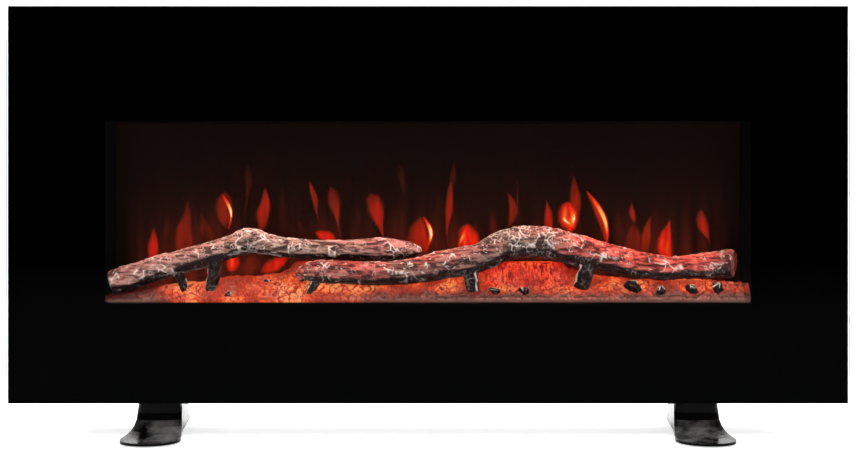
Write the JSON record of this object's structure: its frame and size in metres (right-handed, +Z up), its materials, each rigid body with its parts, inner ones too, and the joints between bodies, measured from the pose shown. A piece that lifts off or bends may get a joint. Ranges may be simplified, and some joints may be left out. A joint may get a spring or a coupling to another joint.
{
  "type": "electric fireplace",
  "caption": "Flat black glass electric fireplace on two flared feet, with resin logs over a glowing ember bed, a flicker spindle and a fan heater in a steel casing.",
  "frame": {"origin": "on the floor, at the middle between the two feet: half way along their length and half way across the unit", "axes": "+Z up, the glass front faces -Y, +X to the right as seen from the front"},
  "size_m": [1.067, 0.23, 0.548],
  "materials": {
    "clear_glass": "clear tempered glass",
    "black_enamel": "gloss black enamel",
    "black_steel": "satin black powder coat",
    "zinc_steel": "zinc-plated",
    "liner_black": "matt black heat paint",
    "smoked_screen": "smoked translucent",
    "mirror_aluminium": "bright",
    "ember_resin": "translucent crackled resin",
    "log_resin": "painted bark texture",
    "char_resin": "charred, ash-edged",
    "circuit_green": "solder mask",
    "led_white": "translucent",
    "component_black": "moulded",
    "white_nylon": "moulded",
    "black_rubber": "matt",
    "black_foam": "closed-cell foam",
    "shaft_steel": "ground",
    "blower_steel": "galvanised",
    "lamination_steel": "stacked laminations",
    "copper_winding": "enamelled wire",
    "heater_aluminium": "finned",
    "white_ceramic": "unglazed",
    "gloss_black_plastic": "gloss",
    "button_black": "satin",
    "lead_red": "insulation"
  },
  "bodies": {
    "cabinet": {"front_glass": "clear_glass", "glass_print": "black_enamel", "glass_frame": "black_steel", "hanger_studs": "zinc_steel", "light_seal": "black_foam", "case_front": "black_steel", "case_left_side": "black_steel", "case_right_side": "black_steel", "case_top": "black_steel", "case_bottom": "black_steel", "rear_cover": "black_steel", "cover_lugs": "zinc_steel", "casing_screws": "zinc_steel", "cable_gland": "component_black", "firebox_liner": "liner_black", "ember_tray": "liner_black", "flame_screen": "smoked_screen", "screen_retainers": "liner_black", "flame_mask": "mirror_aluminium", "ember_bed": "ember_resin", "left_log": "log_resin", "right_log": "log_resin", "charred_chunks": "char_resin", "led_rails": "zinc_steel", "led_boards": "circuit_green", "leds": "led_white", "spindle_brackets": "zinc_steel", "spindle_bush": "white_nylon", "spindle_motor": "zinc_steel", "blower_motor_stator": "lamination_steel", "blower_motor_coil": "copper_winding", "blower_motor_caps": "zinc_steel", "blower_housing": "blower_steel", "blower_bearing": "black_rubber", "heater_element": "heater_aluminium", "heater_holders": "white_ceramic", "outlet_grille": "black_steel", "button_board": "circuit_green", "control_housing": "component_black", "main_switch_body": "component_black", "control_board": "circuit_green", "board_standoffs": "white_nylon", "led_driver": "component_black", "internal_leads": "lead_red", "left_foot": "gloss_black_plastic", "right_foot": "gloss_black_plastic", "foot_pads": "black_rubber", "foot_screws": "zinc_steel", "foot_nut_plates": "zinc_steel"},
    "flame_spindle": {"spindle_rods": "shaft_steel", "flicker_foils": "mirror_aluminium", "spindle_coupling": "black_rubber"},
    "blower_wheel": {"blower_impeller": "blower_steel", "blower_shaft": "shaft_steel", "blower_motor_rotor": "lamination_steel"},
    "power_key": {"power_button": "button_black"},
    "flame_key": {"flame_button": "button_black"},
    "heat_key": {"heat_button": "button_black"},
    "timer_key": {"timer_button": "button_black"},
    "switch_rocker": {"main_switch_rocker": "gloss_black_plastic"}
  },
  "joints": [
    {"name": "flame_spindle_spin", "type": "hinge", "parent": "cabinet", "child": "flame_spindle", "pos_m": [0, 0.05835, 0.159], "axis": [1, 0, 0], "continuous": true},
    {"name": "blower_spin", "type": "hinge", "parent": "cabinet", "child": "blower_wheel", "pos_m": [0, 0.0518, 0.4453], "axis": [1, 0, 0], "continuous": true},
    {"name": "power_press", "type": "slide", "parent": "cabinet", "child": "power_key", "axis": [-1, 0, 0], "range_m": [0, 0.0012], "stiffness_N_per_m": 300, "springref_m": -0.0005},
    {"name": "flame_press", "type": "slide", "parent": "cabinet", "child": "flame_key", "axis": [-1, 0, 0], "range_m": [0, 0.0012], "stiffness_N_per_m": 300, "springref_m": -0.0005},
    {"name": "heat_press", "type": "slide", "parent": "cabinet", "child": "heat_key", "axis": [-1, 0, 0], "range_m": [0, 0.0012], "stiffness_N_per_m": 300, "springref_m": -0.0005},
    {"name": "timer_press", "type": "slide", "parent": "cabinet", "child": "timer_key", "axis": [-1, 0, 0], "range_m": [0, 0.0012], "stiffness_N_per_m": 300, "springref_m": -0.0005},
    {"name": "main_switch_rock", "type": "hinge", "parent": "cabinet", "child": "switch_rocker", "pos_m": [0.5025, 0.0521, 0.14], "axis": [0, -1, 0], "range_deg": [0, 18]}
  ]
}
